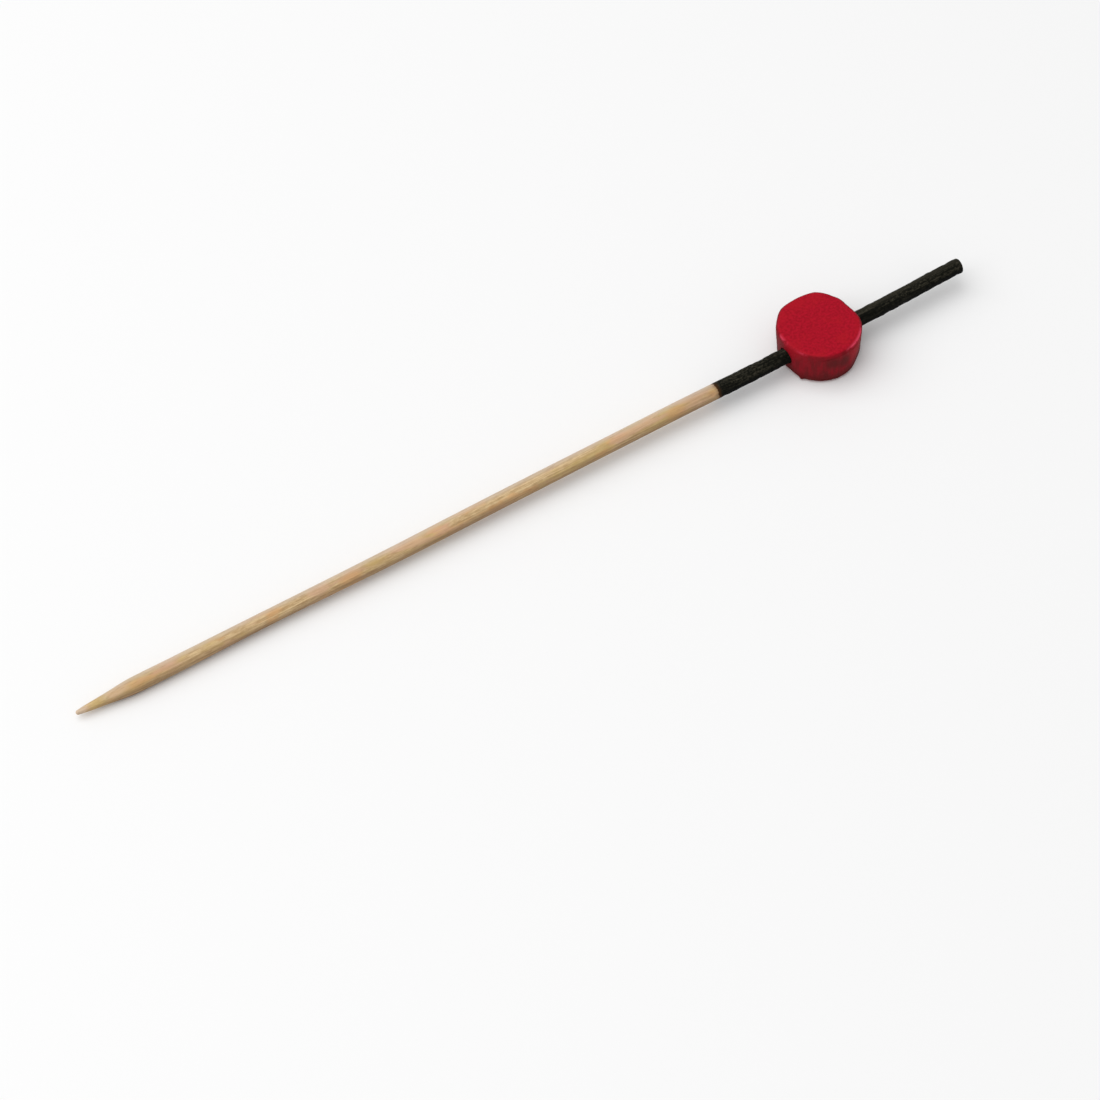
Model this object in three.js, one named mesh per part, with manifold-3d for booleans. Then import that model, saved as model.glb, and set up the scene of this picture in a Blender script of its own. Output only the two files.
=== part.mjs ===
// A beaded bamboo skewer: a round bamboo stick with a sharpened point and a dyed end,
// pushed through a flat painted wooden bead. Millimetres, +Z up. The skewer lies as it
// comes to rest on a table, on the bead's lower rim and on the shaft where its point
// begins. The stick runs along X with the point at -X, and the origin is the middle of
// the bounding box, at table height.
import * as THREE from "three";
import { mergeVertices } from "three/addons/utils/BufferGeometryUtils.js";
import Module from "manifold-3d";

// Stick
const STICK_LENGTH = 120;
const STICK_DIAMETER = 2;
const END_ROUNDING = 0.15; // the sawn end's broken edge
const POINT_LENGTH = 7.6; // from the very tip to the full round section
const SHOULDER_LENGTH = 3; // the last of the point, where the cone eases into the shaft
const TIP_DIAMETER = 0.5; // the tip is blunt and rounded
const BOW = 0.3; // sideways sag of the middle from the straight line between the ends
const DYED_LENGTH = 35.2; // dipped black from the sawn end

// Bead
const BEAD_DIAMETER = 10;
const BEAD_THICKNESS = 5;
const BEAD_EDGE_RADIUS = 0.5;
const BEAD_FROM_END = 20.3; // from the sawn end to the bead's centre
const BORE_CLEARANCE = 0.25; // between the stick and the bore, on the radius

// Facets of the round forms
const STICK_SIDES = 24;
const BARE_SHAFT_STEPS = 20;
const DYED_SHAFT_STEPS = 9;
const BEAD_SIDES = 64;
const ARC_STEPS = 6;

// Colours and finish
const BAMBOO = 0xbe9e74;
const BLACK_DYE = 0x21201a;
const RED_PAINT = 0xa51624;
const BAMBOO_ROUGHNESS = 0.7;
const PAINT_ROUGHNESS = 0.5;

const STICK_RADIUS = STICK_DIAMETER / 2;
const TIP_RADIUS = TIP_DIAMETER / 2;
const BEAD_RADIUS = BEAD_DIAMETER / 2;
const BEAD_X = STICK_LENGTH / 2 - BEAD_FROM_END;
const DYE_LINE_X = STICK_LENGTH / 2 - DYED_LENGTH;
const QUARTER_TURN = Math.PI / 2;

const wasm = await Module();
wasm.setup();

// The bow is a parabola, deepest at mid-length and nothing at both ends.
function bowAt(x) {
  return -BOW * (1 - (2 * x / STICK_LENGTH) ** 2);
}

function bowSlopeAt(x) {
  return 8 * BOW * x / STICK_LENGTH ** 2;
}

// Points along curves that follow one another, with each shared point taken once.
function profileAlong(runs) {
  return runs.flatMap(({ curve, steps }, i) => curve.getPoints(steps).slice(i === 0 ? 0 : 1));
}

// A quarter circle of a lathe profile, from angle to angle + 90 degrees.
function quarter(centreRadius, centreHeight, radius, angle) {
  return new THREE.EllipseCurve(centreRadius, centreHeight, radius, radius, angle, angle + QUARTER_TURN);
}

function line(fromRadius, fromHeight, toRadius, toHeight) {
  return new THREE.LineCurve(
    new THREE.Vector2(fromRadius, fromHeight),
    new THREE.Vector2(toRadius, toHeight),
  );
}

// The point is a cone whose last stretch bends into the shaft. The corner is where cone and
// shaft would meet if nothing were rounded, half a shoulder before the point's end.
function pointFlank() {
  const tip = new THREE.Vector2(TIP_RADIUS, TIP_RADIUS);
  const corner = new THREE.Vector2(STICK_RADIUS, POINT_LENGTH - SHOULDER_LENGTH / 2);
  const coneEnd = corner.clone().lerp(tip, SHOULDER_LENGTH / 2 / (corner.y - tip.y));
  const shaftStart = new THREE.Vector2(STICK_RADIUS, POINT_LENGTH);
  return [
    { curve: new THREE.LineCurve(tip, coneEnd), steps: 1 },
    { curve: new THREE.QuadraticBezierCurve(coneEnd, corner, shaftStart), steps: ARC_STEPS },
  ];
}

// The stick is turned about its length, tip first, then bent sideways along the bow. A ring
// of the shaft lies at the dye line.
function stickGeometry() {
  const dyeLine = STICK_LENGTH - DYED_LENGTH;
  const roundedEnd = STICK_LENGTH - END_ROUNDING;
  const faceRadius = STICK_RADIUS - END_ROUNDING;
  const profile = profileAlong([
    { curve: quarter(0, TIP_RADIUS, TIP_RADIUS, -QUARTER_TURN), steps: ARC_STEPS },
    ...pointFlank(),
    { curve: line(STICK_RADIUS, POINT_LENGTH, STICK_RADIUS, dyeLine), steps: BARE_SHAFT_STEPS },
    { curve: line(STICK_RADIUS, dyeLine, STICK_RADIUS, roundedEnd), steps: DYED_SHAFT_STEPS },
    { curve: quarter(faceRadius, roundedEnd, END_ROUNDING, 0), steps: ARC_STEPS },
    { curve: line(faceRadius, STICK_LENGTH, 0, STICK_LENGTH), steps: 1 },
  ]);
  const geometry = new THREE.LatheGeometry(profile, STICK_SIDES);
  geometry.rotateZ(-QUARTER_TURN).translate(-STICK_LENGTH / 2, 0, 0);
  const position = geometry.getAttribute("position");
  for (let i = 0; i < position.count; i += 1) {
    position.setY(i, position.getY(i) + bowAt(position.getX(i)));
  }
  geometry.computeVertexNormals();
  return geometry;
}

// The dye is a field of colour on the stick: each facet past the dye line is black.
function dyed(geometry) {
  const facets = geometry.toNonIndexed();
  const position = facets.getAttribute("position");
  const bare = new THREE.Color(BAMBOO);
  const black = new THREE.Color(BLACK_DYE);
  const colours = new Float32Array(position.count * 3);
  for (let first = 0; first < position.count; first += 3) {
    const corners = [first, first + 1, first + 2];
    const middle = corners.reduce((sum, i) => sum + position.getX(i), 0) / corners.length;
    const colour = middle > DYE_LINE_X ? black : bare;
    corners.forEach((i) => colour.toArray(colours, i * 3));
  }
  facets.setAttribute("color", new THREE.BufferAttribute(colours, 3));
  return facets;
}

// A geometry as a solid that can be cut, with its shared vertices joined.
function solidOf(geometry) {
  const bare = geometry.clone();
  bare.deleteAttribute("normal");
  bare.deleteAttribute("uv");
  const merged = mergeVertices(bare);
  return new wasm.Manifold(new wasm.Mesh({
    numProp: 3,
    vertProperties: merged.getAttribute("position").array,
    triVerts: new Uint32Array(merged.index.array),
  }));
}

// A cut solid as a geometry again.
function geometryOf(solid) {
  const mesh = solid.getMesh();
  const geometry = new THREE.BufferGeometry();
  geometry.setAttribute("position", new THREE.BufferAttribute(mesh.vertProperties, 3));
  geometry.setIndex(new THREE.BufferAttribute(mesh.triVerts, 1));
  geometry.computeVertexNormals();
  return geometry;
}

// The bead is a turned disc with rounded edges. One of its facets looks at the skewer's
// point, so that it rests on a short line.
function discGeometry() {
  const faceRadius = BEAD_RADIUS - BEAD_EDGE_RADIUS;
  const faceHeight = BEAD_THICKNESS / 2;
  const arcHeight = faceHeight - BEAD_EDGE_RADIUS;
  const profile = profileAlong([
    { curve: line(0, -faceHeight, faceRadius, -faceHeight), steps: 1 },
    { curve: quarter(faceRadius, -arcHeight, BEAD_EDGE_RADIUS, -QUARTER_TURN), steps: ARC_STEPS },
    { curve: line(BEAD_RADIUS, -arcHeight, BEAD_RADIUS, arcHeight), steps: 1 },
    { curve: quarter(faceRadius, arcHeight, BEAD_EDGE_RADIUS, 0), steps: ARC_STEPS },
    { curve: line(faceRadius, faceHeight, 0, faceHeight), steps: 1 },
  ]);
  return new THREE.LatheGeometry(profile, BEAD_SIDES, Math.PI / BEAD_SIDES).rotateX(QUARTER_TURN);
}

// The stick's hole runs right through the disc across its diameter.
function beadGeometry() {
  const boreRadius = STICK_RADIUS + BORE_CLEARANCE;
  const boreLength = 2 * BEAD_DIAMETER;
  const bore = new THREE.CylinderGeometry(boreRadius, boreRadius, boreLength, STICK_SIDES);
  bore.rotateZ(QUARTER_TURN);
  return geometryOf(solidOf(discGeometry()).subtract(solidOf(bore)));
}

function stick() {
  const mesh = new THREE.Mesh(
    dyed(stickGeometry()),
    new THREE.MeshStandardMaterial({ vertexColors: true, roughness: BAMBOO_ROUGHNESS, metalness: 0 }),
  );
  mesh.name = "bamboo_stick";
  return mesh;
}

// The bead sits square on the stick, so it turns with the bow's slope there.
function bead() {
  const mesh = new THREE.Mesh(
    beadGeometry(),
    new THREE.MeshStandardMaterial({ color: RED_PAINT, roughness: PAINT_ROUGHNESS, metalness: 0 }),
  );
  mesh.name = "disc_bead";
  mesh.position.set(BEAD_X, bowAt(BEAD_X), 0);
  mesh.rotation.z = Math.atan(bowSlopeAt(BEAD_X));
  return mesh;
}

// The angle at which the table touches both the shaft, where its point begins, and the
// bead's rounded lower edge: the slope of the line from there to the centre of the edge's
// arc, and the turn that the arc's radius adds.
function restAngle() {
  const reach = BEAD_X - (BEAD_RADIUS - BEAD_EDGE_RADIUS) - (POINT_LENGTH - STICK_LENGTH / 2);
  const drop = BEAD_THICKNESS / 2 - BEAD_EDGE_RADIUS - STICK_RADIUS;
  return Math.atan2(drop, reach) + Math.asin(BEAD_EDGE_RADIUS / Math.hypot(reach, drop));
}

function skewer() {
  const leaning = new THREE.Group();
  leaning.add(stick(), bead());
  leaning.rotation.y = -restAngle();
  const group = new THREE.Group();
  group.add(leaning);
  group.updateMatrixWorld(true);
  const box = new THREE.Box3().setFromObject(group, true);
  const middle = box.getCenter(new THREE.Vector3());
  leaning.position.set(-middle.x, -middle.y, -box.min.z);
  return group;
}

export default skewer();
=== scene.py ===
"""Visual model of a beaded bamboo skewer: fine surfaces, finishes, light and camera."""

import logging
import math
from collections.abc import Callable
from dataclasses import dataclass
from enum import Enum
from typing import Any, ClassVar

import bpy
import numpy as np
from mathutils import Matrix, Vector


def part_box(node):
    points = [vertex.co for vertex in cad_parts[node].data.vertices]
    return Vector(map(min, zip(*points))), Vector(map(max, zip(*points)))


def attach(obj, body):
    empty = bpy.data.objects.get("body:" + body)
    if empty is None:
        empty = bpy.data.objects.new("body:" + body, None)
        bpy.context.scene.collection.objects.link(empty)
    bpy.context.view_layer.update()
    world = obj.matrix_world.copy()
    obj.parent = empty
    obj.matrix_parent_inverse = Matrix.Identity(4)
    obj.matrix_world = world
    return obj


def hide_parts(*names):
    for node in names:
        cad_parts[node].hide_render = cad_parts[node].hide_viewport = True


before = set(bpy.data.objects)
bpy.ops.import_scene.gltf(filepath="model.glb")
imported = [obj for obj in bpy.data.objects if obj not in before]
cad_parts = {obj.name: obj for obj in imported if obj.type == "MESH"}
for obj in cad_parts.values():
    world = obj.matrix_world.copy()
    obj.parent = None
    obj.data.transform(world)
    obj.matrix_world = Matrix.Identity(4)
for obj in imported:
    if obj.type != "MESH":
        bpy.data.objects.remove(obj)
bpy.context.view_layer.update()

log = logging.getLogger("skewer")

MM = 0.001
TINY = 1e-9
FULL_TURN = 2 * math.pi
BODY = "root"
STICK_NODE = "bamboo_stick"
BEAD_NODE = "disc_bead"
STRAIGHT = "straight_mm"
WEAR_AND_HIGHLIGHT = "edge_wear_and_highlight"
BARE_BORE = "bore"


class Slot(Enum):
    """The record's material slots."""

    BAMBOO = "bamboo"
    RED_PAINT = "red_paint"


@dataclass(frozen=True)
class Colour:
    """A colour named by its eight-bit screen values."""

    red: int
    green: int
    blue: int

    def linear(self) -> tuple[float, float, float, float]:
        """Returns the colour as scene-linear values, by the sRGB formula, with full alpha."""
        screen = np.array([self.red, self.green, self.blue]) / 255
        light = np.where(screen <= 0.04045, screen / 12.92, ((screen + 0.055) / 1.055) ** 2.4)
        return (*(float(v) for v in light), 1.0)


@dataclass(frozen=True)
class Ripples:
    """Smooth seeded unevenness: a sum of sine waves with random directions and phases.

    Each wave's number per millimetre along an axis is drawn from a bell curve whose spread
    is the value given for that axis.
    """

    seed: int
    spread: tuple[float, float, float]
    waves: int = 24

    def at(self, points: np.ndarray) -> np.ndarray:
        """Evaluates the ripples.

        Args:
            points: Places in millimetres, with the three coordinates on the last axis.

        Returns:
            One value a point, with a mean of about 0 and a spread of about 1.
        """
        chance = np.random.default_rng(self.seed)
        numbers = chance.normal(size=(self.waves, 3)) * self.spread * FULL_TURN
        phases = chance.uniform(0, FULL_TURN, self.waves)
        total = np.zeros(points.shape[:-1])
        for number, phase in zip(numbers, phases):
            total += np.sin(points @ number + phase)
        return total * math.sqrt(2 / self.waves)


@dataclass(frozen=True)
class Swell:
    """A soft swelling, or a hollow where its height is below 0.

    Its middle and its reach are millimetres along the stick or degrees round the bead, and
    its height is millimetres.
    """

    middle: float
    reach: float
    height: float


def add_swells(swells: tuple[Swell, ...], along: np.ndarray) -> np.ndarray:
    """Adds up swells, each its height times exp(-(d / reach)^2), d away from its middle.

    Args:
        swells: The swells.
        along: Places along the stick from its middle, or azimuths round the bead.

    Returns:
        One height a place.
    """
    total = np.zeros(np.shape(along))
    for swell in swells:
        total += swell.height * np.exp(-(((along - swell.middle) / swell.reach) ** 2))
    return total


def smooth_step(values: np.ndarray, low: float, high: float) -> np.ndarray:
    """Eases from 0 at low to 1 at high, by 3t^2 - 2t^3.

    Args:
        values: Values to ease.
        low: The value that gives 0.
        high: The value that gives 1.

    Returns:
        The eased values, from 0 to 1.
    """
    t = np.clip((values - low) / (high - low), 0, 1)
    return t * t * (3 - 2 * t)


def grid_faces(rows: int, columns: int, closed_rows: bool) -> np.ndarray:
    """Joins a grid whose columns wrap round into four-sided faces.

    Args:
        rows: Number of rings.
        columns: Points round each ring.
        closed_rows: Whether the last ring joins the first one.

    Returns:
        Corner numbers, four a face, in row-major point order.
    """
    last = rows if closed_rows else rows - 1
    row, column = np.meshgrid(np.arange(last), np.arange(columns), indexing="ij")
    below, beside = (row + 1) % rows, (column + 1) % columns
    corners = (row * columns + column, row * columns + beside,
               below * columns + beside, below * columns + column)
    return np.stack(corners, axis=-1).reshape(-1, 4)


def make_piece(name: str, points: np.ndarray, faces: list[list[int]],
               attributes: dict[str, np.ndarray]) -> bpy.types.Object:
    """Makes one smooth-shaded mesh object at the origin.

    Args:
        name: Name of the object and its mesh.
        points: Vertex places in metres, three a row.
        faces: Corner numbers of each face.
        attributes: Vertex values by name, single numbers or vectors.

    Returns:
        The object, linked to the scene.
    """
    mesh = bpy.data.meshes.new(name)
    mesh.from_pydata(points.tolist(), [], faces)
    for label, values in attributes.items():
        if values.ndim == 2:
            mesh.attributes.new(label, "FLOAT_VECTOR", "POINT").data.foreach_set("vector", values.ravel())
        else:
            mesh.attributes.new(label, "FLOAT", "POINT").data.foreach_set("value", values)
    mesh.polygons.foreach_set("use_smooth", np.ones(len(mesh.polygons), bool))
    mesh.update()
    piece = bpy.data.objects.new(name, mesh)
    bpy.context.scene.collection.objects.link(piece)
    return piece


class Signal:
    """One output of a material's nodes, which takes part in Python arithmetic."""

    def __init__(self, graph: "Graph", socket: bpy.types.NodeSocket) -> None:
        """Wraps a socket of a graph."""
        self.graph = graph
        self.socket = socket

    def _math(self, operation: str, *operands: "Signal | float") -> "Signal":
        """Adds a Math node on the operands."""
        return self.graph.add("ShaderNodeMath", {"operation": operation}, dict(enumerate(operands)))

    def __add__(self, other: "Signal | float") -> "Signal":
        """Adds."""
        return self._math("ADD", self, other)

    __radd__ = __add__

    def __sub__(self, other: "Signal | float") -> "Signal":
        """Takes other away."""
        return self._math("SUBTRACT", self, other)

    def __rsub__(self, other: float) -> "Signal":
        """Takes this away from a number."""
        return self._math("SUBTRACT", other, self)

    def __mul__(self, other: "Signal | float") -> "Signal":
        """Multiplies."""
        return self._math("MULTIPLY", self, other)

    __rmul__ = __mul__

    def __pow__(self, other: float) -> "Signal":
        """Raises to a power."""
        return self._math("POWER", self, other)

    def step(self, low: float, high: float) -> "Signal":
        """Eases from 0 where this is low to 1 where it is high."""
        settings = {"interpolation_type": "SMOOTHSTEP"}
        return self.graph.add("ShaderNodeMapRange", settings, {0: self, 1: low, 2: high})


class Graph:
    """The node graph of one material."""

    MIX_FACTOR, MIX_FIRST, MIX_SECOND, MIX_RESULT = 0, 6, 7, 2

    def __init__(self, name: str) -> None:
        """Starts an empty graph in a new material."""
        self.material = bpy.data.materials.new(name)
        self.material.use_nodes = True
        self.material.node_tree.nodes.clear()

    def add(self, kind: str, settings: dict[str, Any], sockets: dict[int | str, Any],
            output: int | str | None = 0) -> Signal | None:
        """Adds one node.

        Args:
            kind: Blender's type name of the node.
            settings: Properties, set before the sockets.
            sockets: Values or signals by socket name or number.
            output: Name or number of the output that is returned, or None.

        Returns:
            The node's output, or nothing where output is None.
        """
        node = self.material.node_tree.nodes.new(kind)
        for label, value in settings.items():
            setattr(node, label, value)
        for label, value in sockets.items():
            if isinstance(value, Signal):
                self.material.node_tree.links.new(value.socket, node.inputs[label])
            elif isinstance(value, Colour):
                node.inputs[label].default_value = value.linear()
            else:
                node.inputs[label].default_value = value
        return None if output is None else Signal(self, node.outputs[output])

    def attribute(self, label: str, output: str) -> Signal:
        """Reads a vertex attribute, as its Vector or its Fac output."""
        settings = {"attribute_type": "GEOMETRY", "attribute_name": label}
        return self.add("ShaderNodeAttribute", settings, {}, output)

    def stretched(self, place: Signal, factors: tuple[float, float, float]) -> Signal:
        """Scales a place along each axis."""
        return self.add("ShaderNodeVectorMath", {"operation": "MULTIPLY"}, {0: place, 1: factors})

    def parts(self, place: Signal) -> tuple[Signal, Signal, Signal]:
        """Splits a place into its three coordinates."""
        first = self.add("ShaderNodeSeparateXYZ", {}, {0: place})
        outputs = first.socket.node.outputs
        return first, Signal(self, outputs[1]), Signal(self, outputs[2])

    def distance(self, place: Signal, middle: tuple[float, float, float]) -> Signal:
        """Measures how far a place lies from a point."""
        return self.add("ShaderNodeVectorMath", {"operation": "DISTANCE"}, {0: place, 1: middle}, "Value")

    def noise(self, place: Signal, factors: tuple[float, float, float], detail: float = 2.0,
              roughness: float = 0.5) -> Signal:
        """Makes soft noise, stretched along the axes.

        Args:
            place: Coordinates in millimetres.
            factors: Features per millimetre along each axis.
            detail: Number of finer layers.
            roughness: Strength of the finer layers.

        Returns:
            A value of about 0.5 that ranges from 0 to 1.
        """
        sockets = {"Vector": self.stretched(place, factors), "Scale": 1.0, "Detail": detail,
                   "Roughness": roughness}
        return self.add("ShaderNodeTexNoise", {}, sockets)

    def mix(self, factor: Signal | float, first: Signal | Colour, second: Signal | Colour) -> Signal:
        """Mixes two colours.

        Args:
            factor: Share of the second colour.
            first: The colour at 0.
            second: The colour at 1.

        Returns:
            The mixed colour.
        """
        settings = {"data_type": "RGBA"}
        sockets = {self.MIX_FACTOR: factor, self.MIX_FIRST: first, self.MIX_SECOND: second}
        return self.add("ShaderNodeMix", settings, sockets, self.MIX_RESULT)

    def bump(self, height: Signal, depth: float, under: Signal | None = None) -> Signal:
        """Turns a height into a normal.

        Args:
            height: Height from 0 to 1.
            depth: Real height of 1, in millimetres.
            under: A normal that this one is laid over.

        Returns:
            The bumped normal.
        """
        sockets: dict[int | str, Any] = {"Height": height, "Distance": depth * MM, "Strength": 1.0}
        if under is not None:
            sockets["Normal"] = under
        return self.add("ShaderNodeBump", {}, sockets)

    def shader(self, varying: dict[str, Signal], fixed: dict[str, Any]) -> Signal:
        """Adds a Principled shader.

        Args:
            varying: Signals by the shader's socket name.
            fixed: Values by the shader's socket name.

        Returns:
            The shader.
        """
        return self.add("ShaderNodeBsdfPrincipled", {}, {**varying, **fixed})

    def finish(self, shader: Signal) -> bpy.types.Material:
        """Links a shader to the surface and returns the finished material."""
        self.add("ShaderNodeOutputMaterial", {}, {"Surface": shader}, output=None)
        return self.material


@dataclass(frozen=True)
class Smudge:
    """A soft patch: its middle in its piece's own millimetres, its radius and its strength."""

    middle: tuple[float, float, float]
    radius: float
    strength: float = 1.0


@dataclass(frozen=True)
class BambooFinish:
    """Bare split bamboo, dipped in black dye from one end. Lengths are millimetres."""

    TINT_SHRINK: ClassVar[float] = 0.5
    TINT_CORE: ClassVar[float] = 0.4
    SIDE_ACROSS: ClassVar[float] = 0.86
    SIDE_UP: ClassVar[float] = 0.51

    dye_line: float
    stain_length: float = 9.0
    brown_length: float = 0.6
    # Where the painted sheen on the dye starts and ends along the stick.
    sheen_start: float = 30.0
    sheen_end: float = 44.0
    light: Colour = Colour(222, 193, 146)
    dark: Colour = Colour(176, 143, 98)
    yellow: Colour = Colour(198, 170, 104)
    orange: Colour = Colour(214, 162, 106)
    pink: Colour = Colour(211, 168, 140)
    # Painted shade: the darker brown laid along the stick's lower side.
    painted_shade: Colour = Colour(134, 105, 70)
    # pale: whitish patches near the point, and a painted reflection along the stick's upper side
    pale: Colour = Colour(205, 188, 170)
    pore: Colour = Colour(140, 102, 68)
    stain: Colour = Colour(112, 82, 58)
    black: Colour = Colour(13, 14, 10)
    # Grey of thin dye streaks, and a painted sheen on the upper side towards the sawn end.
    grey_dye_and_sheen: Colour = Colour(61, 58, 48)
    # Painted shade: blacker dye along the stick's lower side.
    shaded_black: Colour = Colour(7, 8, 7)
    brown: Colour = Colour(70, 44, 22)
    pale_tints: tuple[Smudge, ...] = (
        Smudge((-60, 0, 0), 1.0),
        Smudge((-55, 0, 0.6), 1.2, 0.6),
    )
    yellow_tints: tuple[Smudge, ...] = (
        Smudge((-57.5, -0.5, 0), 0.6),
        Smudge((-47, 0, 0.9), 0.7, 0.8),
    )
    orange_tints: tuple[Smudge, ...] = (
        Smudge((-52.5, -0.4, 0.8), 0.8, 0.8),
        Smudge((-25, -0.7, 0.7), 1.0),
        Smudge((19, -0.6, 0.8), 0.9),
    )
    pink_tints: tuple[Smudge, ...] = (
        Smudge((-48, 0.2, 0.9), 0.8),
        Smudge((-29, -0.2, 0.9), 1.0),
    )

    def material(self) -> bpy.types.Material:
        """Builds the material from the piece's straightened coordinates."""
        graph = Graph("bamboo_and_dye")
        place = graph.attribute(STRAIGHT, "Vector")
        along, across, up = graph.parts(place)
        side = across * self.SIDE_ACROSS + up * self.SIDE_UP
        fibres = graph.noise(place, (0.12, 5.0, 5.0), detail=5, roughness=0.66)
        dyed = self._dyed(along, fibres)
        bare = graph.shader(
            {
                "Base Color": self._bare(graph, place, fibres, along, side),
                "Roughness": 0.62 + 0.16 * (fibres - 0.5),
                "Normal": graph.bump(fibres, 0.03),
            },
            {"Specular IOR Level": 0.4},
        )
        mottle = graph.noise(place, (2.6, 4.0, 4.0), detail=4, roughness=0.7)
        dye = graph.shader(
            {
                "Base Color": self._dye(graph, place, fibres, mottle, along, side),
                "Roughness": 0.6 + 0.3 * (mottle - 0.5),
                "Normal": graph.bump(mottle * 0.6 + fibres * 0.4, 0.05),
            },
            {"Specular IOR Level": 0.03},
        )
        return graph.finish(graph.add("ShaderNodeMixShader", {}, {0: dyed, 1: bare, 2: dye}))

    def _bare(self, graph: Graph, place: Signal, fibres: Signal, along: Signal,
              side: Signal) -> Signal:
        """Builds the bare bamboo's colour.

        Args:
            graph: The material's graph.
            place: Straightened coordinates.
            fibres: Fine lengthwise pattern.
            along: The coordinate along the stick.
            side: How far a place lies towards the stick's upper side, which gets a painted reflection, and
                away from it towards the lower side, which gets painted shade.

        Returns:
            The colour: light and dark fibres under soft yellow, orange, pink and pale patches.
            One side is paler, a painted reflection, and the other side is darker brown with
            more dark pores, a painted shade. The dye leaves a faint stain ahead of its border.
        """
        bundles = graph.noise(place, (0.05, 1.9, 1.9), detail=3)
        pores = graph.noise(place, (0.7, 7.0, 7.0), detail=3)
        flecks = graph.noise(place, (1.1, 3.4, 3.4), detail=3, roughness=0.65)
        yellow = graph.noise(place, (0.17, 0.5, 0.5), detail=3)
        orange = graph.noise(graph.stretched(place, (-1, 1, 1)), (0.24, 0.7, 0.7), detail=3)
        pink = graph.noise(graph.stretched(place, (1, -1, 1)), (0.15, 0.6, 0.6), detail=3)
        painted_shade = side.step(0.0, -0.95)
        bare = graph.mix((fibres * 0.6 + flecks * 0.4).step(0.38, 0.62), self.dark, self.light)
        bare = graph.mix(yellow.step(0.5, 0.62) * 0.6, bare, self.yellow)
        bare = graph.mix(orange.step(0.54, 0.64) * 0.6, bare, self.orange)
        bare = graph.mix(pink.step(0.52, 0.63) * 0.6, bare, self.pink)
        shrunk = graph.stretched(place, (self.TINT_SHRINK, 1, 1))
        for tints, hue in ((self.yellow_tints, self.yellow), (self.orange_tints, self.orange),
                           (self.pink_tints, self.pink), (self.pale_tints, self.pale)):
            for tint in tints:
                bare = graph.mix(self._tint(graph, shrunk, tint) * (0.3 + 0.6 * flecks), bare, hue)
        bare = graph.mix(bundles.step(0.58, 0.36) * 0.4, bare, self.dark)
        # Painted reflection: the upper side is paler.
        bare = graph.mix(side.step(0.25, 0.95) * 0.65, bare, self.pale)
        # Painted shade: the lower side is darker brown, with more dark pores.
        bare = graph.mix(painted_shade * (0.6 + 0.35 * fibres.step(0.6, 0.4)), bare, self.painted_shade)
        bare = graph.mix(pores.step(0.56, 0.7) * (0.3 + 0.4 * painted_shade), bare, self.pore)
        bare = graph.mix(along.step(self.dye_line - self.stain_length, self.dye_line) * 0.1, bare, self.stain)
        reach = (along + 1.6 * (fibres - 0.5)).step(self.dye_line - 0.5, self.dye_line + 0.1)
        return graph.mix(reach * 0.6, bare, self.stain)

    def _dye(self, graph: Graph, place: Signal, fibres: Signal, mottle: Signal, along: Signal,
             side: Signal) -> Signal:
        """Builds the dye's colour.

        Args:
            graph: The material's graph.
            place: Straightened coordinates.
            fibres: Fine lengthwise pattern.
            mottle: Short lumps.
            along: The coordinate along the stick.
            side: How far a place lies towards the stick's upper side, which gets a painted sheen on the dye,
                and away from it towards the lower side, which gets painted shade.

        Returns:
            The colour: black, brownish where it is thin, and brown along its border. It has a
            painted sheen, greyer on the upper side towards the sawn end, and painted shade, blacker
            on the lower side.
        """
        thin = graph.noise(place, (0.16, 2.0, 2.0), detail=4, roughness=0.7)
        streaks = (fibres * 0.4 + mottle * 0.6).step(0.44, 0.6) * thin.step(0.34, 0.62)
        dye = graph.mix(streaks, self.black, self.grey_dye_and_sheen)
        # Painted sheen: the dye is greyer on the upper side towards the sawn end.
        lightened = side.step(0.1, 0.9) * along.step(self.sheen_start, self.sheen_end)
        dye = graph.mix(lightened * 0.4, dye, self.grey_dye_and_sheen)
        # Painted shade: the dye is blacker on the lower side.
        dye = graph.mix(side.step(-0.1, -0.8) * 0.85, dye, self.shaded_black)
        border = (along + 0.8 * (mottle - 0.5)).step(self.dye_line + self.brown_length, self.dye_line)
        return graph.mix(border * 0.85, dye, self.brown)

    def _tint(self, graph: Graph, shrunk: Signal, tint: Smudge) -> Signal:
        """Gives the strength in the middle of a tint, which is longer than wide, and 0 outside."""
        along, across, up = tint.middle
        middle = (along * self.TINT_SHRINK, across, up)
        away = graph.distance(shrunk, middle)
        return away.step(tint.radius, self.TINT_CORE * tint.radius) * tint.strength

    def _dyed(self, along: Signal, fibres: Signal) -> Signal:
        """Gives 1 on the dyed stretch, with a border that the fibres fray a little."""
        return (along + 0.5 * (fibres - 0.5)).step(self.dye_line - 0.08, self.dye_line + 0.08)


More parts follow.
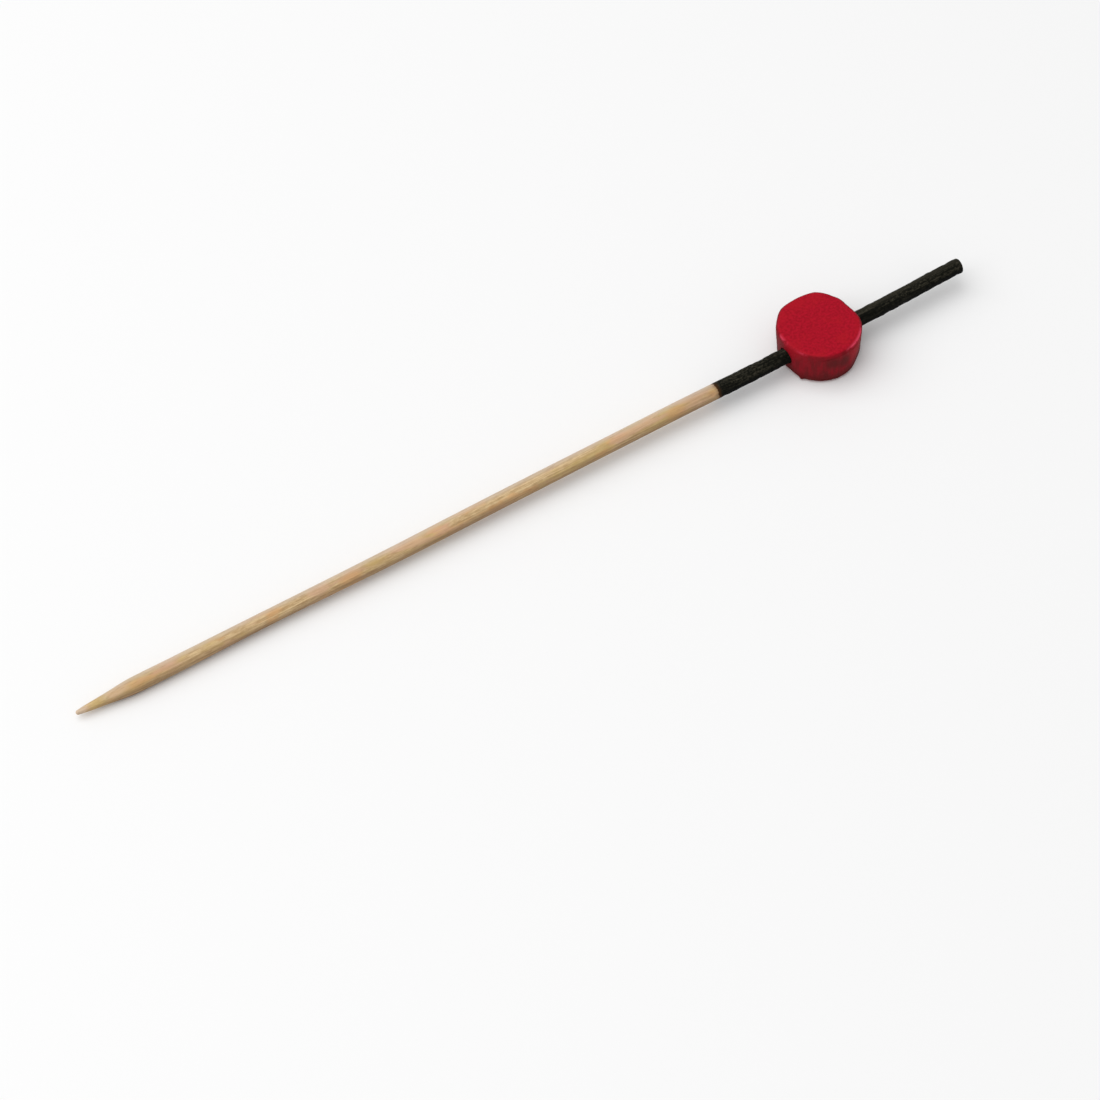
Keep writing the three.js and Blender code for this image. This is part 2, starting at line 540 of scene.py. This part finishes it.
@dataclass(frozen=True)
class PaintFinish:
    """Satin crimson paint on a turned end-grain disc. Lengths are millimetres."""

    SMUDGE_CORE: ClassVar[float] = 0.2

    radius: float
    rim_start: float = 0.36
    rim_end: float = 0.08
    face: Colour = Colour(173, 17, 39)
    face_dark: Colour = Colour(152, 13, 31)
    face_warm: Colour = Colour(172, 22, 34)
    # Rim reds are darker than the faces: partly the side grain's own tone, partly painted shade.
    rim: Colour = Colour(133, 17, 30)
    rim_bright: Colour = Colour(152, 18, 32)
    rim_dark: Colour = Colour(108, 20, 26)
    # shade: maroon of the rim's blotches and darker patches, and painted shade on its lower part.
    shade: Colour = Colour(74, 23, 22)
    # worn: pink of edges where the paint is worn thin, partly a painted highlight on them.
    worn: Colour = Colour(222, 66, 92)
    wood: Colour = Colour(104, 32, 30)
    # Spots where the edges turn pink most, partly painted highlights.
    rubs_and_highlights: tuple[Smudge, ...] = (
        Smudge((2.6, -4.0, 2.4), 2.8, 1.6),
        Smudge((-4.6, 0.6, 2.4), 1.3, 0.8),
        Smudge((-4.2, -2.3, 2.4), 0.9, 0.4),
    )
    # Darker patches on the front of the rim.
    dark_patches: tuple[Smudge, ...] = (
        Smudge((0.2, -5.0, 0.6), 1.4),
        Smudge((-1.4, -4.8, 1.0), 1.5),
    )
    # Brighter red patches on the rim.
    bright_patches: tuple[Smudge, ...] = (
        Smudge((2.3, -4.4, 1.2), 2.7, 0.95),
        Smudge((-4.8, -1.4, 2.0), 2.0, 0.8),
    )

    def material(self) -> bpy.types.Material:
        """Builds the material from the bead's own coordinates and its rounded-edge values, which carry wear
        and a painted highlight.
        """
        graph = Graph("worn_red_paint")
        place = graph.attribute(STRAIGHT, "Vector")
        across, along, height = graph.parts(place)
        reach = (across * across + along * along) ** 0.5
        side = reach.step(self.radius - self.rim_start, self.radius - self.rim_end)
        mottle = graph.noise(place, (3.2, 3.2, 3.2), detail=3, roughness=0.5)
        grain = graph.noise(place, (2.0, 2.0, 0.3), detail=4, roughness=0.55)
        pits = graph.noise(place, (6.0, 6.0, 6.0), detail=2)
        paint = graph.mix(side, self._face(graph, place, mottle), self._rim(graph, place, height, grain))
        # Pink edges: worn paint, partly a painted highlight.
        paint = graph.mix(self._wear_and_highlight(graph, place) * 0.85, paint, self.worn)
        relief = grain * side + pits * (1 - side)
        shader = graph.shader(
            {
                "Base Color": graph.mix(graph.attribute(BARE_BORE, "Fac"), paint, self.wood),
                "Roughness": 0.52 + 0.2 * (mottle - 0.5) + 0.08 * side,
                "Normal": graph.bump(relief, 0.015, graph.bump(mottle, 0.015)),
            },
            {"Specular IOR Level": 0.05},
        )
        return graph.finish(shader)

    def _face(self, graph: Graph, place: Signal, mottle: Signal) -> Signal:
        """Builds the faces' colour: crimson, finely mottled over the end grain."""
        clouds = graph.noise(place, (0.4, 0.4, 0.4), detail=3)
        face = graph.mix(mottle.step(0.34, 0.66), self.face_dark, self.face)
        return graph.mix(clouds.step(0.48, 0.66) * 0.5, face, self.face_warm)

    def _rim(self, graph: Graph, place: Signal, height: Signal, grain: Signal) -> Signal:
        """Builds the rim's colour.

        Args:
            graph: The material's graph.
            place: The bead's own coordinates.
            height: The coordinate along the disc's axis.
            grain: Streaks along the disc's axis.

        Returns:
            The colour: soft streaks, maroon blotches and brighter and darker patches, with
            painted light that makes it redder above and painted shade that makes it duller below.
        """
        blotches = graph.noise(place, (0.3, 0.3, 0.2), detail=3)
        rim = graph.mix(grain.step(0.36, 0.64), self.rim_dark, self.rim)
        rim = graph.mix(blotches.step(0.46, 0.62) * 0.6, rim, self.shade)
        # Painted light: the rim is redder towards its upper edge.
        rim = graph.mix(height.step(0.4, 2.4) * 0.35, rim, self.rim)
        # Brighter red patches on the rim.
        for smudge in self.bright_patches:
            rim = graph.mix(self._near(graph, place, smudge), rim, self.rim_bright)
        # Painted shade: the rim is duller towards its lower edge.
        rim = graph.mix(height.step(-0.4, -2.2) * 0.75, rim, self.shade)
        # Darker patches on the rim.
        for smudge in self.dark_patches:
            rim = graph.mix(self._near(graph, place, smudge) * (0.4 + 0.5 * grain), rim, self.shade)
        return rim

    def _wear_and_highlight(self, graph: Graph, place: Signal) -> Signal:
        """Gives how far the paint on a rounded edge is worn thin and carries a painted highlight, which is 0
        elsewhere.
        """
        patches = graph.noise(place, (1.6, 1.6, 2.0), detail=4, roughness=0.6)
        lightened = self._near(graph, place, self.rubs_and_highlights[0])
        for rub in self.rubs_and_highlights[1:]:
            lightened = lightened + self._near(graph, place, rub)
        edge = graph.attribute(WEAR_AND_HIGHLIGHT, "Fac") ** 2.0
        return edge * (patches + 0.1 * lightened).step(0.47, 0.6) * (0.06 + 0.94 * lightened)

    def _near(self, graph: Graph, place: Signal, smudge: Smudge) -> Signal:
        """Gives the strength in the middle of a smudge and 0 outside it."""
        away = graph.distance(place, smudge.middle)
        return away.step(smudge.radius, self.SMUDGE_CORE * smudge.radius) * smudge.strength


@dataclass(frozen=True)
class Bow:
    """The stick's sideways bow, in millimetres."""

    length: float
    depth: float = 0.3

    def parabola(self, along: np.ndarray) -> np.ndarray:
        """Returns the bow: deepest at mid-length and nothing at both ends."""
        return -self.depth * (1 - (2 * along / self.length) ** 2)

    def slope(self, along: float) -> float:
        """Returns the bow's slope."""
        return 8 * self.depth * along / self.length**2


@dataclass(frozen=True)
class RestPose:
    """Carries places from the skewer's straight frame into the part's frame."""

    tilt: float
    offset: tuple[float, float, float]

    def place(self, points: np.ndarray) -> np.ndarray:
        """Leans the points about Y by the tilt and moves them, from millimetres to metres.

        Args:
            points: Places in the straight frame, in millimetres.

        Returns:
            Places in the part's frame, in metres.
        """
        cosine, sine = math.cos(self.tilt), math.sin(self.tilt)
        x, y, z = np.moveaxis(points, -1, 0)
        leaned = np.stack([cosine * x - sine * z, y, sine * x + cosine * z], axis=-1)
        return (leaned + self.offset) * MM


@dataclass
class Stick:
    """The bamboo stick: a sharpened point, a long shaft and a square sawn end.

    Its bends lean towards -Y, and its girths add to its radius.
    """

    length: float = 120.0
    radius: float = 1.0
    end_rounding: float = 0.15
    point_length: float = 7.6
    shoulder_length: float = 3.0
    tip_radius: float = 0.25
    dyed_length: float = 35.2
    sides: int = 128
    arc_rings: int = 9
    point_rings: int = 26
    shaft_rings: int = 560
    face_rings: int = 14
    inset: float = 0.02
    oval: float = 0.012
    flats: int = 5
    flat_depth: float = 0.05
    flat_turn: float = 0.4
    flat_full: float = 3.0
    flat_runout: float = 2.0
    bends: tuple[Swell, ...] = (
        Swell(-50, 13, 0.21),
        Swell(-21, 13, 0.16),
        Swell(32, 9, 0.17),
        Swell(48, 8, 0.19),
    )
    thick_tip: Swell = Swell(-59.2, 1.6, 0.045)
    hollow_point: Swell = Swell(-55.2, 1.8, -0.055)
    waist: Swell = Swell(-33, 13, -0.09)
    thin_end: Swell = Swell(60, 7, -0.04)

    @property
    def dye_line(self) -> float:
        """The dye line's place along the straight stick, from its middle."""
        return self.length / 2 - self.dyed_length

    def profile(self) -> tuple[np.ndarray, np.ndarray]:
        """Works out the outline from the tip's pole to the middle of the sawn end.

        A quarter circle rounds the tip. A straight cone follows, then a curve
        (1-u)^2 A + 2u(1-u) C + u^2 B with its corner C half a shoulder before the shaft.
        The shaft ends in a small quarter circle and the flat sawn face.

        Returns:
            Distances from the tip and radii, in millimetres.
        """
        turn = np.linspace(0, math.pi / 2, self.arc_rings)
        tip = (self.tip_radius * (1 - np.cos(turn)), self.tip_radius * np.sin(turn))
        start = np.array([self.tip_radius, self.tip_radius])
        corner = np.array([self.point_length - self.shoulder_length / 2, self.radius])
        cone_end = corner + (start - corner) * self.shoulder_length / 2 / (corner[0] - start[0])
        share = np.linspace(0, 1, self.point_rings)[1:, None]
        cone = start + (cone_end - start) * share
        shaft_start = np.array([self.point_length, self.radius])
        shoulder = (1 - share) ** 2 * cone_end + 2 * share * (1 - share) * corner + share**2 * shaft_start
        shaft = np.linspace(self.point_length, self.length - self.end_rounding, self.shaft_rings)[1:]
        edge = (self.length - self.end_rounding * (1 - np.sin(turn[1:])),
                self.radius - self.end_rounding * (1 - np.cos(turn[1:])))
        face = np.linspace(self.radius - self.end_rounding, 0, self.face_rings)[1:]
        along = np.concatenate([tip[0], cone[:, 0], shoulder[:, 0], shaft, edge[0], 0 * face + self.length])
        radii = np.concatenate([tip[1], cone[:, 1], shoulder[:, 1], 0 * shaft + self.radius, edge[1], face])
        return along, radii

    def build(self, pose: RestPose, bow: Bow) -> bpy.types.Object:
        """Builds the fine stick.

        Each point is the profile's radius, turned round the stick, plus relief that follows
        the fibres and the stick's girths. The whole follows the bow and the soft bends.

        Args:
            pose: How the skewer lies.
            bow: The stick's bow.

        Returns:
            The stick's object.
        """
        from_tip, radii = self.profile()
        along = from_tip - self.length / 2
        around = np.arange(self.sides) * FULL_TURN / self.sides
        ring = np.stack([0 * around, np.cos(around), np.sin(around)], axis=-1)
        axis = np.stack([along, 0 * along, 0 * along], axis=-1)
        straight = axis[:, None, :] + ring * radii[:, None, None]
        share = radii[:, None] / self.radius
        girths = (self.thick_tip, self.hollow_point, self.waist, self.thin_end)
        girth = add_swells(girths, along)[:, None] * np.clip(share * 3, 0, 1)
        relief = self._relief(straight, around) * share + girth
        fine = straight + ring * relief[..., None]
        sideways = bow.parabola(along) - add_swells(self.bends, along)
        centre = np.stack([0 * along, sideways, 0 * along], axis=-1)
        placed = pose.place(fine + centre[:, None, :])
        return self._closed(placed, straight)

    def _relief(self, straight: np.ndarray, around: np.ndarray) -> np.ndarray:
        """Works out how far the surface stands off the round form, in millimetres.

        The sum of a slight oval, ridges along the fibres, lumps of dye and, on the point,
        the flats that sharpening leaves.

        Args:
            straight: Places on the round form.
            around: The angles of the columns.

        Returns:
            One distance a point.
        """
        along = straight[..., 0]
        oval = self.oval * np.cos(2 * around + 0.02 * along)
        ridges = 0.008 * Ripples(22, (0.012, 0.55, 0.55)).at(straight)
        ridges += 0.005 * Ripples(23, (0.03, 1.3, 1.3)).at(straight)
        dye = smooth_step(along, self.dye_line - 0.1, self.dye_line + 0.3)
        ridges += 0.02 * dye * Ripples(24, (0.5, 0.45, 0.45), 40).at(straight)
        from_tip = along + self.length / 2
        on_point = smooth_step(from_tip, self.point_length + self.flat_runout, self.flat_full)
        wave = np.abs(np.cos(self.flats / 2 * around + self.flat_turn))
        flats = -self.flat_depth * on_point * (1 - wave)
        return oval + ridges + flats - self.inset

    def _closed(self, placed: np.ndarray, straight: np.ndarray) -> bpy.types.Object:
        """Closes both poles of the grid and makes the object."""
        rings = placed[1:-1]
        rows, columns = rings.shape[:2]
        count = rows * columns
        points = np.concatenate([rings.reshape(-1, 3), placed[:1, 0], placed[-1:, 0]])
        coordinates = np.concatenate([straight[1:-1].reshape(-1, 3), straight[:1, 0], straight[-1:, 0]])
        column = np.arange(columns)
        beside = (column + 1) % columns
        last = (rows - 1) * columns
        tip_fan = np.stack([beside, column, np.full(columns, count)], axis=-1)
        end_fan = np.stack([last + column, last + beside, np.full(columns, count + 1)], axis=-1)
        quads = grid_faces(rows, columns, closed_rows=False)
        faces = quads.tolist() + tip_fan[:, ::-1].tolist() + end_fan[:, ::-1].tolist()
        return make_piece("fine_stick", points, faces, {STRAIGHT: coordinates})


@dataclass
class Bead:
    """The flat round bead, bored across its diameter."""

    CUT_STEPS: ClassVar[int] = 1600
    TURN_STEPS: ClassVar[int] = 4000
    EDGE_DENSITY: ClassVar[float] = 2.0
    MOUTH_DENSITY: ClassVar[float] = 3.0
    CORNER_DENSITY: ClassVar[float] = 2.5
    CORNER_REACH: ClassVar[float] = 0.12
    BLEND_ROWS: ClassVar[float] = 2.0
    SOFT_PASSES: ClassVar[int] = 3
    SOFT_ROWS: ClassVar[int] = 5
    SOFTEST_ROWS: ClassVar[int] = 2

    radius: float = 5.0
    thickness: float = 5.0
    edge_radius: float = 0.5
    from_end: float = 20.3
    bore_radius: float = 1.06
    columns: int = 320
    outer_rows: int = 190
    bore_rows: int = 50
    upper_swells: tuple[Swell, ...] = (
        Swell(7, 20, -0.4),
        Swell(38, 7, -0.08),
        Swell(64, 12, 0.15),
        Swell(120, 15, 0.27),
        Swell(152, 23, 0.28),
    )
    lower_swells: tuple[Swell, ...] = (
        Swell(-171, 14, -0.25),
        Swell(-100, 50, -0.05),
        Swell(-53, 17, -0.22),
        Swell(-18, 11, 0.08),
    )
    burr: float = 0.24
    burr_azimuth: float = -148.5
    burr_half_width: float = 3.0
    burr_above_base: float = 0.35
    burr_half_height: float = 0.4
    still_radius: float = 3.4
    moving_radius: float = 4.6
    mouth_reach: float = 0.35
    chip_reach: float = 0.2
    bend_reach: float = 1.9
    inset: float = 0.02

    def reach(self, across: np.ndarray, up: np.ndarray) -> np.ndarray:
        """Works out how far a ray from the middle runs to the rounded disc's surface.

        A ray with share `across` in the disc's plane and `up` along its axis meets the rim
        at R / across, a face at half the thickness / up, or the edge's arc. The arc's centre
        is a outwards and b up, so (t across - a)^2 + (t up - b)^2 is its radius squared.

        Args:
            across: The ray's share in the disc's plane.
            up: The ray's share along the axis, 0 or more.

        Returns:
            Distances in millimetres.
        """
        half = self.thickness / 2
        centre_out = self.radius - self.edge_radius
        centre_up = half - self.edge_radius
        rim = self.radius / np.maximum(across, TINY)
        face = half / np.maximum(up, TINY)
        nearest = centre_out * across + centre_up * up
        beyond = centre_out**2 + centre_up**2 - self.edge_radius**2
        arc = nearest + np.sqrt(np.maximum(nearest**2 - beyond, 0))
        return np.where(rim * up <= centre_up, rim, np.where(face * across <= centre_out, face, arc))

    def surface(self, swing: np.ndarray, around: np.ndarray) -> np.ndarray:
        """Works out where rays from the middle leave the rounded disc.

        A ray points along (-cos(swing), sin(swing) cos(around), sin(swing) sin(around)).

        Args:
            swing: The rays' angles from the near end of the bore's axis.
            around: Their angles round the bore, one a column.

        Returns:
            Places by row and column, in millimetres.
        """
        out = np.sin(swing)
        ray = np.stack([-np.cos(swing), out * np.cos(around), out * np.sin(around)], axis=-1)
        reach = self.reach(np.hypot(ray[..., 0], ray[..., 1]), np.abs(ray[..., 2]))
        return ray * reach[..., None]

    def mouth_depth(self, around: np.ndarray) -> np.ndarray:
        """Returns how far from the middle the bore meets the rim, sqrt(R^2 - (r cos a)^2)."""
        return np.sqrt(self.radius**2 - (self.bore_radius * np.cos(around)) ** 2)

    def outer(self, around: np.ndarray) -> np.ndarray:
        """Works out the outer surface from one mouth of the bore to the other.

        Every column is the cut through the disc by a half plane that holds the bore's axis.
        Its points are spaced evenly along the cut, closer on the rounded edges and near the
        mouths.

        Args:
            around: The half planes' angles round the bore.

        Returns:
            Places by row and column, in millimetres.
        """
        mouth = np.arctan2(self.bore_radius, self.mouth_depth(around))
        share = np.linspace(0, 1, self.CUT_STEPS)[:, None]
        swing = mouth + (math.pi - 2 * mouth) * share
        cut = self.surface(swing, around)
        step = np.linalg.norm(np.diff(cut, axis=0), axis=-1)
        middle = (cut[1:] + cut[:-1]) / 2
        from_mouth = np.hypot(middle[..., 1], middle[..., 2]) - self.bore_radius
        ends = np.exp(-((from_mouth / self.mouth_reach) ** 2)) * (np.abs(middle[..., 0]) > self.radius / 2)
        edges = self.edge_share(middle) > 0
        run = np.cumsum(step * (1 + self.EDGE_DENSITY * edges + self.MOUTH_DENSITY * ends), axis=0)
        run = np.concatenate([0 * run[:1], run]) / run[-1]
        wanted = np.linspace(0, 1, self.outer_rows)
        swings = np.stack([np.interp(wanted, run[:, i], swing[:, i]) for i in range(len(around))], axis=1)
        return self.surface(swings, around)

    def edge_share(self, places: np.ndarray) -> np.ndarray:
        """Gives 0 off the rounded edges and 1 at the middle of their arcs."""
        out = np.hypot(places[..., 0], places[..., 1]) - (self.radius - self.edge_radius)
        up = np.abs(places[..., 2]) - (self.thickness / 2 - self.edge_radius)
        return np.clip(np.minimum(out, up) / (self.edge_radius * math.sqrt(0.5)), 0, 1)

    def bore(self, around: np.ndarray) -> np.ndarray:
        """Works out the bore's wall back from the far mouth to the near one.

        Args:
            around: The half planes' angles round the bore.

        Returns:
            Places by row and column, in millimetres, without the two mouths.
        """
        share = np.sin(np.linspace(1, -1, self.bore_rows + 2)[1:-1] * math.pi / 2)[:, None]
        wall = self.bore_radius * np.stack([np.cos(around), np.sin(around)], axis=-1)
        wall = np.broadcast_to(wall, (self.bore_rows, *wall.shape))
        return np.concatenate([(self.mouth_depth(around) * share)[..., None], wall], axis=-1)

    def columns_around(self) -> np.ndarray:
        """Spaces the half planes closer where they run along the rounded edges."""
        fine = np.linspace(0, FULL_TURN, self.TURN_STEPS)
        corner = math.atan2(self.thickness, 2 * self.radius)
        nearest = np.abs(np.abs((fine + math.pi / 2) % math.pi - math.pi / 2) - corner)
        run = np.cumsum(1 + self.CORNER_DENSITY * np.exp(-((nearest / self.CORNER_REACH) ** 2)))
        run = (run - run[0]) / (run[-1] - run[0])
        return np.interp(np.arange(self.columns) / self.columns, run, fine)

    def build(self, pose: RestPose, bow: Bow, stick: Stick) -> bpy.types.Object:
        """Builds the fine bead as one closed ring of a grid, round the bore and back.

        Args:
            pose: How the skewer lies.
            bow: The stick's bow, which the bead follows.
            stick: The stick that carries the bead.

        Returns:
            The bead's object.
        """
        around = self.columns_around()
        at = stick.length / 2 - self.from_end
        grid = self._soft_mouths(np.concatenate([self.outer(around), self.bore(around)]))
        rows = np.arange(len(grid))
        depth = np.minimum(rows - self.outer_rows, len(grid) - 1 - rows)
        inside = smooth_step(depth, -self.BLEND_ROWS, self.BLEND_ROWS)
        relief = self._relief(grid) * (1 - inside)[:, None]
        radial = self._radial(grid) * (1 - inside)[:, None]
        fine = grid + self._outward(grid) * relief[..., None]
        fine[..., :2] += grid[..., :2] * (radial / np.hypot(grid[..., 0], grid[..., 1]))[..., None]
        near_bore = np.exp(-((np.hypot(grid[..., 1], grid[..., 2]) / self.bend_reach) ** 4))
        fine[..., 1] -= add_swells(stick.bends, at + grid[..., 0]) * near_bore
        turn = math.atan(bow.slope(at))
        cosine, sine = math.cos(turn), math.sin(turn)
        x, y, z = np.moveaxis(fine, -1, 0)
        sideways = sine * x + cosine * y + bow.parabola(np.array(at))
        seated = np.stack([cosine * x - sine * y + at, sideways, z], axis=-1)
        faces = grid_faces(len(grid), self.columns, closed_rows=True)
        attributes = {
            STRAIGHT: grid.reshape(-1, 3),
            WEAR_AND_HIGHLIGHT: self.edge_share(grid).ravel(),
            BARE_BORE: np.repeat(inside, self.columns),
        }
        return make_piece("fine_bead", pose.place(seated).reshape(-1, 3), faces.tolist(), attributes)

    def _soft_mouths(self, grid: np.ndarray) -> np.ndarray:
        """Rounds both mouths of the bore by averaging neighbouring rows there."""
        rows = np.arange(len(grid))
        total = len(grid)
        mouths = (0, self.outer_rows - 1)
        near = [np.abs((rows - mouth + total / 2) % total - total / 2) for mouth in mouths]
        weight = smooth_step(np.minimum(*near), self.SOFT_ROWS, self.SOFTEST_ROWS)[:, None, None]
        for _ in range(self.SOFT_PASSES):
            mean = (np.roll(grid, 1, axis=0) + 2 * grid + np.roll(grid, -1, axis=0)) / 4
            grid = grid + (mean - grid) * weight
        return grid

    def _outward(self, places: np.ndarray) -> np.ndarray:
        """Works out the disc's outward direction at places on its surface."""
        x, y, z = np.moveaxis(places, -1, 0)
        flat = np.hypot(x, y)
        out = flat - (self.radius - self.edge_radius)
        up = np.abs(z) - (self.thickness / 2 - self.edge_radius)
        rise = np.where(out <= 0, 1, np.clip(up, 0, None))
        spread = np.where(out <= 0, 0, np.clip(out, 0, None))
        size = np.maximum(np.hypot(rise, spread), TINY)
        radial = spread / size / np.maximum(flat, TINY)
        return np.stack([x * radial, y * radial, np.sign(z) * rise / size], axis=-1)

    def _relief(self, places: np.ndarray) -> np.ndarray:
        """Works out how far the surface stands off the true disc, in millimetres.

        The sum of a slow unevenness all over, the grain's ridges on the rim, edges that are
        worn back more in some places than in others, and chips round the bore's mouths.

        Args:
            places: Places on the true disc.

        Returns:
            One distance a point, mostly negative, so that the bead stays within its size.
        """
        slow = np.clip(0.012 * Ripples(31, (0.16, 0.16, 0.08)).at(places), -0.03, 0.01)
        ridges = 0.004 * Ripples(32, (0.8, 0.8, 0.05)).at(places)
        worn = 0.03 * np.clip(1 + Ripples(33, (0.14, 0.14, 0.14)).at(places), 0, None)
        chips = 0.03 * np.clip(Ripples(34, (0.5, 0.5, 0.5)).at(places), 0, None)
        from_bore = np.hypot(places[..., 1], places[..., 2]) - self.bore_radius
        near_mouth = np.exp(-((from_bore / self.chip_reach) ** 2))
        return slow + ridges - worn * self.edge_share(places) - chips * near_mouth - self.inset

    def _radial(self, places: np.ndarray) -> np.ndarray:
        """Works out how far the rim is moved outwards, in millimetres.

        The upper and the lower edge each have swells and hollows by azimuth, which reach
        on past 180 degrees, and the rim between them is a smooth blend by height. A small
        burr stands out of the lower edge. Everything fades out towards the disc's middle.

        Args:
            places: Places on the true disc.

        Returns:
            One distance a point.
        """
        x, y, z = np.moveaxis(places, -1, 0)
        azimuth = np.degrees(np.arctan2(y, x))
        laps = azimuth + 360 * np.array([-1, 0, 1])[:, None, None]
        upper = smooth_step(z, -self.thickness / 2, self.thickness / 2)
        outline = add_swells(self.upper_swells, laps).sum(axis=0) * upper
        outline += add_swells(self.lower_swells, laps).sum(axis=0) * (1 - upper)
        turn = (azimuth - self.burr_azimuth) / self.burr_half_width
        rise = (z + self.thickness / 2 - self.burr_above_base) / self.burr_half_height
        moving = smooth_step(np.hypot(x, y), self.still_radius, self.moving_radius)
        return (outline + self.burr * np.exp(-(turn**2 + rise**2))) * moving


@dataclass(frozen=True)
class Studio:
    """The pale floor, the soft lamp and the surrounding light. Lengths are metres."""

    floor_colour: Colour = Colour(246, 246, 246)
    floor_size: float = 4.0
    surround: float = 0.53
    key_power: float = 9.5
    key_place: tuple[float, float, float] = (-0.45, 0.2, 0.87)
    key_size: float = 1.4

    def build(self) -> None:
        """Builds the floor, the world and the lamp."""
        self._floor()
        self._world()
        self._lamp()

    def _floor(self) -> None:
        """Lays a plain pale floor under the skewer."""
        half = self.floor_size / 2
        corners = np.array([[-half, -half, 0], [half, -half, 0], [half, half, 0], [-half, half, 0]])
        floor = make_piece("floor", corners, [[0, 1, 2, 3]], {})
        graph = Graph("plain_floor")
        plain = {"Base Color": self.floor_colour, "Roughness": 0.9, "Specular IOR Level": 0.0}
        floor.data.materials.append(graph.finish(graph.shader({}, plain)))

    def _world(self) -> None:
        """Surrounds the scene with even soft light."""
        world = bpy.data.worlds.new("studio")
        world.use_nodes = True
        background = world.node_tree.nodes["Background"]
        background.inputs["Color"].default_value = (1, 1, 1, 1)
        background.inputs["Strength"].default_value = self.surround
        bpy.context.scene.world = world

    def _lamp(self) -> None:
        """Hangs the square soft lamp, which looks at the skewer."""
        data = bpy.data.lights.new("key", "AREA")
        data.size = self.key_size
        data.energy = self.key_power
        lamp = bpy.data.objects.new("key", data)
        lamp.location = self.key_place
        lamp.rotation_euler = (-Vector(self.key_place)).to_track_quat("-Z", "Y").to_euler()
        bpy.context.scene.collection.objects.link(lamp)


@dataclass(frozen=True)
class PhotoCamera:
    """The camera at the photograph's angle, for a square picture.

    Angles are degrees. The distance and the target are millimetres.
    """

    azimuth: float = -31.53
    elevation: float = 54.83
    distance: float = 460.8
    focal_pixels: float = 4000.0
    picture_pixels: float = 1100.0
    target: tuple[float, float, float] = (-2.85, -8.09, 0.0)
    sensor_width: float = 36.0
    nearest_metres: float = 0.01

    def build(self) -> None:
        """Makes the camera and gives it to the scene."""
        azimuth, elevation = math.radians(self.azimuth), math.radians(self.elevation)
        level = math.cos(elevation)
        back = Vector((math.sin(azimuth) * level, -math.cos(azimuth) * level, math.sin(elevation)))
        data = bpy.data.cameras.new("photo_camera")
        data.sensor_width = self.sensor_width
        data.lens = self.focal_pixels / self.picture_pixels * self.sensor_width
        data.clip_start = self.nearest_metres
        camera = bpy.data.objects.new("photo_camera", data)
        camera.location = (Vector(self.target) + back * self.distance) * MM
        camera.rotation_euler = (-back).to_track_quat("-Z", "Y").to_euler()
        bpy.context.scene.collection.objects.link(camera)
        bpy.context.scene.camera = camera
        bpy.context.scene.view_settings.view_transform = "Standard"


@dataclass
class Skewer:
    """The whole skewer: the stick and the bead, in the pose in which it rests."""

    stick: Stick
    bead: Bead

    def bow(self) -> Bow:
        """Returns the bow along the stick's length."""
        return Bow(self.stick.length)

    def rest_tilt(self) -> float:
        """Works out the lean at which the table touches the shaft and the bead's edge.

        It is the slope of the line from the shaft's underside, where the point begins, to
        the centre of the bead's lower edge arc, plus the turn that the arc's radius adds.

        Returns:
            The angle in radians.
        """
        stick, bead = self.stick, self.bead
        bead_at = stick.length - bead.from_end
        reach = bead_at - (bead.radius - bead.edge_radius) - stick.point_length
        drop = bead.thickness / 2 - bead.edge_radius - stick.radius
        return math.atan2(drop, reach) + math.asin(bead.edge_radius / math.hypot(reach, drop))

    def pose(self) -> RestPose:
        """Fits the straight frame to the bead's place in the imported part."""
        low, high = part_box(BEAD_NODE)
        middle = (np.array(low) + np.array(high)) / 2 / MM
        at = self.stick.length / 2 - self.bead.from_end
        seat = np.array([at, float(self.bow().parabola(np.array(at))), 0.0])
        tilt = self.rest_tilt()
        leaned = RestPose(tilt, (0.0, 0.0, 0.0)).place(seat) / MM
        return RestPose(tilt, tuple(float(v) for v in middle - leaned))

    def build(self) -> None:
        """Builds both pieces, dresses them and hangs them on the frame."""
        pose = self.pose()
        bamboo = BambooFinish(dye_line=self.stick.dye_line)
        paint = PaintFinish(radius=self.bead.radius)
        self._hang(self.stick.build(pose, self.bow()), STICK_NODE, Slot.BAMBOO, bamboo.material)
        self._hang(self.bead.build(pose, self.bow(), self.stick), BEAD_NODE, Slot.RED_PAINT, paint.material)

    def _hang(self, piece: bpy.types.Object, node: str, slot: Slot,
              finish: Callable[[], bpy.types.Material]) -> None:
        """Gives a piece its finish and its place in the frame.

        Args:
            piece: The piece.
            node: The node that it stands for.
            slot: The record's slot of its finish; not used.
            finish: Makes the material.
        """
        piece.data.materials.append(finish())
        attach(piece, BODY)
        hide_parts(node)
        log.info("%s stands for %s: %d faces", piece.name, node, len(piece.data.polygons))


def main() -> None:
    """Builds the camera, the skewer and the studio."""
    logging.basicConfig(level=logging.INFO, format="%(name)s: %(message)s")
    PhotoCamera().build()
    log.info("camera set")
    Skewer(Stick(), Bead()).build()
    Studio().build()
    log.info("studio set")


if __name__ == "__main__":
    main()
